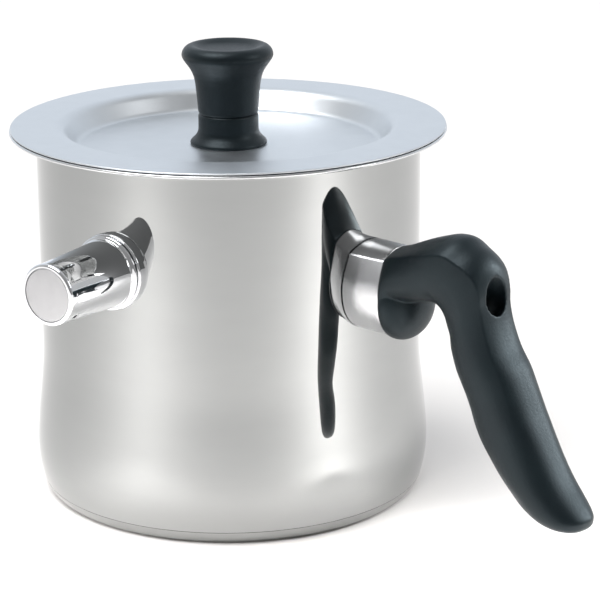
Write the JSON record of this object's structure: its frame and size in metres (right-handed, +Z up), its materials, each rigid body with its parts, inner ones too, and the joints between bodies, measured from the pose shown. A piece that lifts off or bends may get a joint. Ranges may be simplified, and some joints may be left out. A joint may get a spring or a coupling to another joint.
{
  "type": "double-walled melting pot",
  "caption": "Stainless double-walled water-jacket pot with a lift-off lid and knob, a side filler neck closed by a pull-off whistle cap, and a down-turned side handle.",
  "frame": {"origin": "pot axis at the flat resting face under the base", "axes": "+Z up, +X out along the handle, neck near -Y"},
  "size_m": [0.2685, 0.2008, 0.1795],
  "materials": {
    "body_steel": "fine satin polish, near mirror",
    "inner_steel": "satin",
    "lid_steel": "polished",
    "base_steel": "satin",
    "base_aluminium": "plain",
    "chrome_trim": "mirror",
    "satin_disc": "matt",
    "phenolic_black": "semi-gloss moulded phenolic",
    "silicone": "matt",
    "brass_insert": "machined",
    "plated_steel": "zinc plated",
    "bracket_steel": "plain"
  },
  "bodies": {
    "pot": {"outer_shell": "body_steel", "inner_pot": "inner_steel", "base_core": "base_aluminium", "base_cap": "base_steel", "filler_neck": "body_steel", "neck_collar": "chrome_trim", "bracket_pad": "bracket_steel", "handle_bracket": "bracket_steel", "handle_ferrule": "chrome_trim", "handle_grip": "phenolic_black", "handle_screw": "plated_steel", "handle_washer": "plated_steel"},
    "lid": {"lid_disc": "lid_steel", "lid_knob": "phenolic_black", "knob_skirt": "phenolic_black", "knob_insert": "brass_insert", "knob_screw": "plated_steel", "knob_washer": "plated_steel"},
    "cap": {"whistle_cap": "chrome_trim", "cap_end_disc": "satin_disc", "whistle_inner_disc": "satin_disc", "whistle_spacer": "satin_disc", "whistle_outer_disc": "satin_disc", "cap_seal": "silicone"}
  },
  "joints": [
    {"name": "lid_lift", "type": "slide", "parent": "pot", "child": "lid", "axis": [0, 0, 1], "range_m": [0, 0.06]},
    {"name": "cap_pull", "type": "slide", "parent": "pot", "child": "cap", "axis": [0.1736, -0.9848, 0], "range_m": [0, 0.04]}
  ]
}
